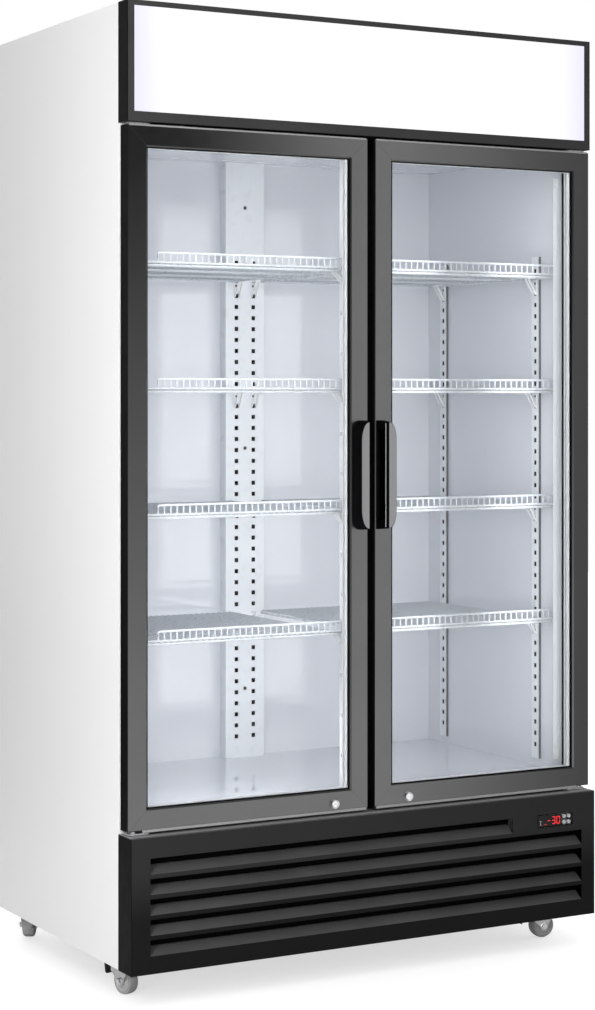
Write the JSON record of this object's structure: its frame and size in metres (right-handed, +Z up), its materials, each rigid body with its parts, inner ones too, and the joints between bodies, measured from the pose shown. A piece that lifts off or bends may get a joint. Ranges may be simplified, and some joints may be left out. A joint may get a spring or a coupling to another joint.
{
  "type": "display cooler",
  "caption": "Upright glass-door display cooler with a lit header, wire shelves, a louvred base cover and swivel casters.",
  "frame": {"origin": "on the floor, under the middle of the overall box", "axes": "+Z up, +X to the right seen from the front, the doors face -Y"},
  "size_m": [1.123, 0.714, 1.99],
  "materials": {
    "white_paint": "smooth satin white coating",
    "zinc_sheet": "plain galvanised sheet",
    "foam": "rigid foamed-in-place filling",
    "liner": "smooth pale grey coating",
    "trim": "smooth light grey moulding",
    "dark_paint": "satin near-black coating",
    "light_panel": "translucent white sheet, lit from behind",
    "reflector": "gloss white",
    "lamp": "frosted lens",
    "standard": "pale coating",
    "white_wire": "white dipped wire",
    "clip": "zinc plated",
    "fins": "bare pressed fins",
    "black_plastic": "moulded black",
    "black_steel": "black enamel",
    "grey_plastic": "moulded grey",
    "bright_steel": "bright zinc",
    "brake_steel": "dark coated pressing",
    "wheel": "grey solid tyre",
    "control_case": "black, with a dark window",
    "control_key": "light grey keys",
    "door_metal": "dark grey satin anodised",
    "glass": "clear double glazing",
    "gasket": "soft black bellows",
    "handle": "black, with a bright grey front",
    "chrome": "polished"
  },
  "bodies": {
    "cabinet": {"side_panel_left": "white_paint", "side_panel_right": "white_paint", "top_panel": "white_paint", "back_panel": "zinc_sheet", "base_frame": "zinc_sheet", "rear_cover": "zinc_sheet", "foam_insulation": "foam", "liner": "liner", "evaporator_cover": "liner", "front_frame": "trim", "centre_mullion": "trim", "header_frame": "dark_paint", "front_grille": "dark_paint", "header_panel": "light_panel", "header_reflector": "reflector", "led_strips": "lamp", "shelf_standards": "standard", "shelf_left_1": "white_wire", "shelf_left_2": "white_wire", "shelf_left_3": "white_wire", "shelf_left_4": "white_wire", "shelf_right_1": "white_wire", "shelf_right_2": "white_wire", "shelf_right_3": "white_wire", "shelf_right_4": "white_wire", "shelf_clips": "clip", "evaporator_coil": "fins", "condenser_coil": "fins", "compressor": "black_steel", "condenser_shroud": "black_steel", "evaporation_tray": "grey_plastic", "hinge_brackets": "bright_steel", "caster_plates": "bright_steel", "controller": "control_case"},
    "door_left": {"door_frame_left": "door_metal", "door_glass_left": "glass", "door_gasket_left": "gasket", "handle_left": "handle"},
    "door_right": {"door_frame_right": "door_metal", "door_glass_right": "glass", "door_gasket_right": "gasket", "handle_right": "handle"},
    "lock_left": {"lock_left": "chrome"},
    "lock_right": {"lock_right": "chrome"},
    "button_1": {"button_1": "control_key"},
    "button_2": {"button_2": "control_key"},
    "button_3": {"button_3": "control_key"},
    "button_4": {"button_4": "control_key"},
    "evaporator_fan": {"evaporator_fan": "black_plastic"},
    "condenser_fan": {"condenser_fan": "black_plastic"},
    "caster_front_left": {"caster_fork_front_left": "bright_steel"},
    "wheel_front_left": {"caster_wheel_front_left": "wheel"},
    "caster_front_right": {"caster_fork_front_right": "bright_steel"},
    "wheel_front_right": {"caster_wheel_front_right": "wheel"},
    "caster_rear_left": {"caster_fork_rear_left": "bright_steel"},
    "wheel_rear_left": {"caster_wheel_rear_left": "wheel"},
    "caster_rear_right": {"caster_fork_rear_right": "bright_steel"},
    "wheel_rear_right": {"caster_wheel_rear_right": "wheel"},
    "brake_front_left": {"caster_brake_front_left": "brake_steel"},
    "brake_front_right": {"caster_brake_front_right": "brake_steel"}
  },
  "joints": [
    {"name": "door_left_hinge", "type": "hinge", "parent": "cabinet", "child": "door_left", "pos_m": [-0.543, -0.308, 1.045], "axis": [0, 0, -1], "range_deg": [0, 110]},
    {"name": "lock_left_turn", "type": "hinge", "parent": "door_left", "child": "lock_left", "pos_m": [-0.09, -0.325, 0.362], "axis": [0, -1, 0], "range_deg": [0, 90]},
    {"name": "door_right_hinge", "type": "hinge", "parent": "cabinet", "child": "door_right", "pos_m": [0.543, -0.308, 1.045], "axis": [0, 0, 1], "range_deg": [0, 110]},
    {"name": "lock_right_turn", "type": "hinge", "parent": "door_right", "child": "lock_right", "pos_m": [0.09, -0.325, 0.362], "axis": [0, 1, 0], "range_deg": [0, 90]},
    {"name": "button_1_press", "type": "slide", "parent": "cabinet", "child": "button_1", "axis": [0, 1, 0], "range_m": [0, 0.0015], "stiffness_N_per_m": 300},
    {"name": "button_2_press", "type": "slide", "parent": "cabinet", "child": "button_2", "axis": [0, 1, 0], "range_m": [0, 0.0015], "stiffness_N_per_m": 300},
    {"name": "button_3_press", "type": "slide", "parent": "cabinet", "child": "button_3", "axis": [0, 1, 0], "range_m": [0, 0.0015], "stiffness_N_per_m": 300},
    {"name": "button_4_press", "type": "slide", "parent": "cabinet", "child": "button_4", "axis": [0, 1, 0], "range_m": [0, 0.0015], "stiffness_N_per_m": 300},
    {"name": "evaporator_fan_spin", "type": "hinge", "parent": "cabinet", "child": "evaporator_fan", "pos_m": [0, -0.053, 1.76047], "axis": [0, 0, 1], "continuous": true},
    {"name": "condenser_fan_spin", "type": "hinge", "parent": "cabinet", "child": "condenser_fan", "pos_m": [-0.24, -0.17403, 0.1725], "axis": [0, 1, 0], "continuous": true},
    {"name": "caster_front_left_swivel", "type": "hinge", "parent": "cabinet", "child": "caster_front_left", "pos_m": [-0.512, -0.239, 0.06], "axis": [0, 0, 1], "continuous": true},
    {"name": "wheel_front_left_roll", "type": "hinge", "parent": "caster_front_left", "child": "wheel_front_left", "pos_m": [-0.51605, -0.22146, 0.027], "axis": [-0.9744, -0.225, 0], "continuous": true},
    {"name": "brake_front_left_press", "type": "hinge", "parent": "caster_front_left", "child": "brake_front_left", "pos_m": [-0.5213, -0.19873, 0.05033], "axis": [-0.9744, -0.225, 0], "range_deg": [0, 12]},
    {"name": "caster_front_right_swivel", "type": "hinge", "parent": "cabinet", "child": "caster_front_right", "pos_m": [0.512, -0.239, 0.06], "axis": [0, 0, 1], "continuous": true},
    {"name": "wheel_front_right_roll", "type": "hinge", "parent": "caster_front_right", "child": "wheel_front_right", "pos_m": [0.49427, -0.23587, 0.027], "axis": [-0.1736, -0.9848, 0], "continuous": true},
    {"name": "brake_front_right_press", "type": "hinge", "parent": "caster_front_right", "child": "brake_front_right", "pos_m": [0.47129, -0.23182, 0.05033], "axis": [-0.1736, -0.9848, 0], "range_deg": [0, 12]},
    {"name": "caster_rear_left_swivel", "type": "hinge", "parent": "cabinet", "child": "caster_rear_left", "pos_m": [-0.512, 0.307, 0.06], "axis": [0, 0, 1], "continuous": true},
    {"name": "wheel_rear_left_roll", "type": "hinge", "parent": "caster_rear_left", "child": "wheel_rear_left", "pos_m": [-0.50194, 0.32192, 0.027], "axis": [-0.829, 0.5592, 0], "continuous": true},
    {"name": "caster_rear_right_swivel", "type": "hinge", "parent": "cabinet", "child": "caster_rear_right", "pos_m": [0.512, 0.307, 0.06], "axis": [0, 0, 1], "continuous": true},
    {"name": "wheel_rear_right_roll", "type": "hinge", "parent": "caster_rear_right", "child": "wheel_rear_right", "pos_m": [0.52579, 0.31857, 0.027], "axis": [-0.6428, 0.766, 0], "continuous": true}
  ]
}
